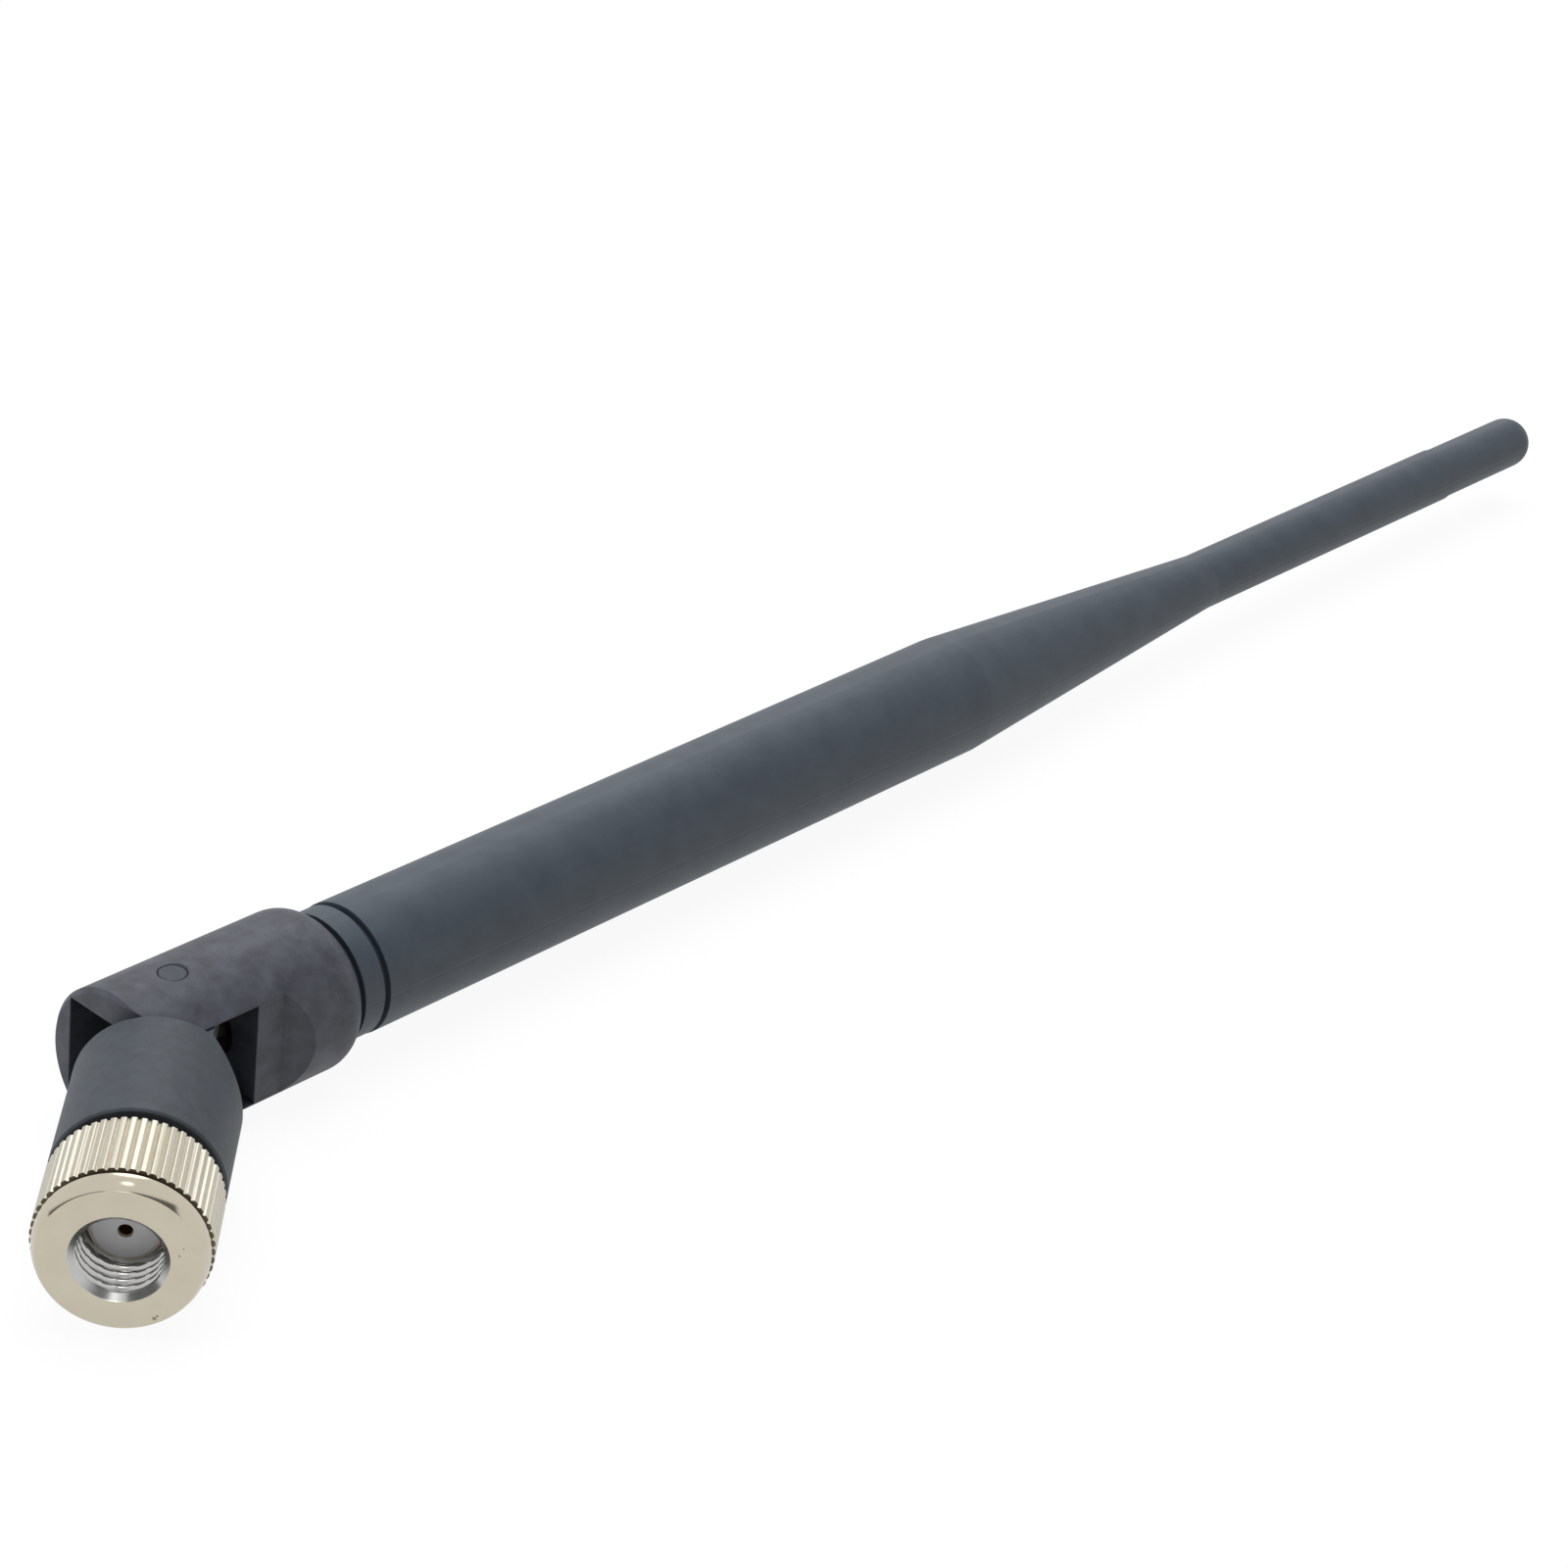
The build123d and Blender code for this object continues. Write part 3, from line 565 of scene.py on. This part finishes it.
# The cable's stripped ends: tinned braid, opened over the plug's crimp tail and bared in the
# feed's collar; clear core; and the silvered conductor that is soldered in the contact and in the
# rod's socket.
tinned_braid = plain_metal("copper_braid_tinned", "a8a49c", "c2bfb8", 0.42, 0.25)
clear_core = plain_polymer("fluoropolymer_core_clear", "dedcd6", "ebe9e4", 0.40, 0.5, 0.004)
silvered_wire = plain_metal("copper_wire_silvered", "bdbab4", "d2d0cb", 0.25, 0.3)
core_radius, braid_radius, wire_radius, hair = 0.43, 0.68, 0.16, 0.002
flared_inner, flared_outer, neck_inner, neck_outer = 1.36, 1.49, 0.70, 0.86
end_steps = 48


def rod(start, stop, radius):
    """The profile of a plain rod: its (place along the axis, radius) corners."""
    return ((start, hair), (start, radius), (stop, radius), (stop, hair))


flared_braid = (
    (8.30, neck_outer), (8.77, flared_outer), (11.54, flared_outer),
    (11.54, flared_inner), (8.80, flared_inner), (8.30, neck_inner),
)
plug_ends = (
    ("plug_end_braid", tinned_braid, flared_braid),
    ("plug_end_core", clear_core, rod(8.25, 14.10, core_radius)),
    ("plug_end_wire", silvered_wire, rod(14.05, 15.64, wire_radius)),
)
feed_ends = (
    ("feed_end_braid", tinned_braid, rod(79.30, 80.49, braid_radius)),
    ("feed_end_core", clear_core, rod(80.45, 83.87, core_radius)),
    ("feed_end_wire", silvered_wire, rod(83.80, 85.39, wire_radius)),
)
for ends, axis, body in ((plug_ends, toward_nut, "connector"), (feed_ends, whip_dir, "whip")):
    for name, material, profile in ends:
        end_rings = [plain_ring(radius, place) for place, radius in profile]
        end_piece = ring_mesh(name, end_rings, end_steps, along(axis, hinge))
        end_piece.data.materials.append(material)
        smooth(end_piece, 40)
        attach(end_piece, body)
        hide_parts("coax_cable")

# Inside the whip: the brass radiator, made of a drawn tube, a collar, a drilled socket and a rod.
# Moulded polythene bushes centre it, and the grommet, shrink tube and tip plug are soft and black.
drawn_brass = plain_metal("drawn_brass", "a88a48", "c2a562", 0.30, 0.6)
for node in ("radiator_tube", "feed_collar", "rod_socket", "radiator_rod"):
    dress(node, drawn_brass)
polythene = plain_polymer("polythene_natural", "dcd8ca", "eae6da", 0.45, 0.6, 0.01)
for node in ("lower_bush", "cable_spacer", "tube_spacer", "taper_bead"):
    dress(node, polythene)
rubber = plain_polymer("rubber_black", "17171a", "222226", 0.62, 0.4, 0.012)
for node in ("cable_grommet", "feed_shrink_tube", "tip_plug"):
    dress(node, rubber)

# The white sweep: matt paper under the antenna, lit so evenly that it is white to the eye. It
# keeps the object's shadow, and gives metal a slightly darker floor to mirror than the eye sees.
sweep_size, sweep_centre = 6.0, (0.3, 0.3)
paper_bounced, paper_mirrored, paper_seen_level = 1.12, 0.82, 1.0
glow_share_bounced, glow_share_seen = 0.60, 0.93
floor_height = min(corner[2] for corner in solid_box)
bpy.ops.mesh.primitive_plane_add(size=sweep_size, location=(*sweep_centre, floor_height))
floor_plane = bpy.context.object
floor_plane.name = "white_sweep"
paper, paper_shader = new_material("matt_white_paper")
paper_shader.inputs["Base Color"].default_value = linear("f2f2f2")
paper_shader.inputs["Roughness"].default_value = 0.9
paper_rays = add(paper, "ShaderNodeLightPath")
paper_bounce = add(
    paper, "ShaderNodeMapRange", None,
    {
        "Value": paper_rays.outputs["Is Glossy Ray"],
        "To Min": paper_bounced, "To Max": paper_mirrored,
    },
)
paper_level = add(
    paper, "ShaderNodeMapRange", None,
    {
        "Value": paper_rays.outputs["Is Camera Ray"],
        "To Min": paper_bounce.outputs["Result"], "To Max": paper_seen_level,
    },
)
paper_glow = add(
    paper, "ShaderNodeEmission", None,
    {"Color": linear("ffffff"), "Strength": paper_level.outputs["Result"]},
)
paper_seen = add(
    paper, "ShaderNodeMath", {"operation": "MAXIMUM"},
    {0: paper_rays.outputs["Is Camera Ray"], 1: paper_rays.outputs["Is Glossy Ray"]},
)
paper_share = add(
    paper, "ShaderNodeMapRange", None,
    {"Value": paper_seen.outputs[0], "To Min": glow_share_bounced, "To Max": glow_share_seen},
)
paper_mix = add(
    paper, "ShaderNodeMixShader", None,
    {
        0: paper_share.outputs["Result"],
        1: paper_shader.outputs["BSDF"], 2: paper_glow.outputs["Emission"],
    },
)
paper_end = [node for node in paper.node_tree.nodes if node.type == "OUTPUT_MATERIAL"][0]
paper.node_tree.links.new(paper_mix.outputs["Shader"], paper_end.inputs["Surface"])
floor_plane.data.materials.append(paper)

# The surround is white to the eye and gives a weaker even light. Metal sees it nearly white too,
# apart from three dark cards of the studio in a belt across the sky: a wide bright gap parts the
# first from the second, and the last two all but meet.
surround = bpy.data.worlds.new("white_surround")
bpy.context.scene.world = surround
surround.use_nodes = True
surround.node_tree.nodes.clear()
surround_rays = add(surround, "ShaderNodeLightPath")
surround_place = add(surround, "ShaderNodeTexCoord")
belt_pole = Vector((0.519, 0.647, 0.559)).normalized()
belt_way = Vector((-0.780, 0.626, 0.0)).normalized()
belt_width, belt_blur = (-0.14, 0.30), 0.09
sky_level, card_level = 0.86, 0.14
# Each card: its reach across the belt, and along it.
cards = ((belt_width, (-0.80, -0.10)), (belt_width, (0.48, 0.82)), (belt_width, (0.87, 1.02)))
belt_across = add(
    surround, "ShaderNodeVectorMath", {"operation": "DOT_PRODUCT"},
    {0: surround_place.outputs["Generated"], 1: belt_pole},
)
belt_along = add(
    surround, "ShaderNodeVectorMath", {"operation": "DOT_PRODUCT"},
    {0: surround_place.outputs["Generated"], 1: belt_way},
)
card_shares = []
for across_range, along_range in cards:
    sides = []
    for position, (low, high) in ((belt_across, across_range), (belt_along, along_range)):
        for start, stop in ((low - belt_blur, low), (high + belt_blur, high)):
            sides.append(
                add(
                    surround, "ShaderNodeMapRange", {"interpolation_type": "SMOOTHSTEP"},
                    {"Value": position.outputs["Value"], "From Min": start, "From Max": stop},
                ).outputs["Result"]
            )
    share = sides[0]
    for side in sides[1:]:
        share = add(
            surround, "ShaderNodeMath", {"operation": "MULTIPLY"}, {0: share, 1: side}
        ).outputs[0]
    card_shares.append(share)
card_share = card_shares[0]
for share in card_shares[1:]:
    card_share = add(
        surround, "ShaderNodeMath", {"operation": "MAXIMUM"}, {0: card_share, 1: share}
    ).outputs[0]
gloss_socket = add(
    surround, "ShaderNodeMapRange", None,
    {"Value": card_share, "To Min": sky_level, "To Max": card_level},
).outputs["Result"]

# Polished metal also sees a bright far wall, a small lamp overhead, the camera as a dark disc, and
# a lamp above it. All are fixed in the room, placed for the photograph's view.
# Each disc: its way, its inner and outer half angles in degrees, and its level.
sky_discs = (
    (Vector((0.61, 0.55, 0.57)), 9.0, 17.0, 2.60),
    (Vector((0.19, 0.17, 0.97)), 3.0, 8.0, 2.20),
    (Vector((-0.686, -0.541, 0.486)), 6.0, 10.0, 0.30),
    (Vector((-0.525, -0.473, 0.707)), 8.0, 13.0, 3.00),
)
for way, inner, outer, level in sky_discs:
    toward = add(
        surround, "ShaderNodeVectorMath", {"operation": "DOT_PRODUCT"},
        {0: surround_place.outputs["Generated"], 1: way.normalized()},
    )
    disc = add(
        surround, "ShaderNodeMapRange", {"interpolation_type": "SMOOTHSTEP"},
        {
            "Value": toward.outputs["Value"],
            "From Min": cos(radians(outer)), "From Max": cos(radians(inner)),
        },
    )
    gloss_socket = add(
        surround, "ShaderNodeMix", {"data_type": "FLOAT"},
        {0: disc.outputs["Result"], 2: gloss_socket, 3: level},
    ).outputs[0]

# Matt surfaces get less from the camera's side of the room than from the far side.
near_way = Vector((-0.69, -0.72, 0.1)).normalized()
far_from, near_to, far_level, near_level = -0.3, 0.9, 0.38, 0.18
near_share = add(
    surround, "ShaderNodeVectorMath", {"operation": "DOT_PRODUCT"},
    {0: surround_place.outputs["Generated"], 1: near_way},
)
matt_level = add(
    surround, "ShaderNodeMapRange", {"interpolation_type": "SMOOTHSTEP"},
    {
        "Value": near_share.outputs["Value"],
        "From Min": far_from, "From Max": near_to, "To Min": far_level, "To Max": near_level,
    },
)
gloss_part = add(
    surround, "ShaderNodeMix", {"data_type": "FLOAT"},
    {0: surround_rays.outputs["Is Glossy Ray"], 2: matt_level.outputs["Result"], 3: gloss_socket},
)
surround_level = add(
    surround, "ShaderNodeMix", {"data_type": "FLOAT"},
    {0: surround_rays.outputs["Is Camera Ray"], 2: gloss_part.outputs[0], 3: 1.0},
)
surround_light = add(
    surround, "ShaderNodeBackground", None,
    {"Color": linear("ffffff"), "Strength": surround_level.outputs[0]},
)
add(surround, "ShaderNodeOutputWorld", inputs={"Surface": surround_light.outputs["Background"]})


# The soft light: a large softbox overhead and a weaker one from the left. The plate's highlights
# come from the surround alone, so neither lamp shows as a hard patch on it.
def softbox(name, place, target, size, power):
    """A rectangular lamp at a place, turned to a target, in metres and watts."""
    lamp = bpy.data.objects.new(name, bpy.data.lights.new(name, "AREA"))
    bpy.context.scene.collection.objects.link(lamp)
    lamp.data.shape = "RECTANGLE"
    lamp.data.size, lamp.data.size_y = size
    lamp.data.energy = power
    lamp.location = place
    lamp.rotation_euler = (Vector(target) - Vector(place)).to_track_quat("-Z", "Y").to_euler()
    lamp.visible_glossy = False


softbox("overhead_softbox", (0.16, 0.10, 0.62), (0.10, 0.0, 0.0), (0.7, 0.5), 5.0)
softbox("left_softbox", (-0.40, 0.35, 0.25), (0.05, 0.0, 0.0), (0.35, 0.35), 1.6)
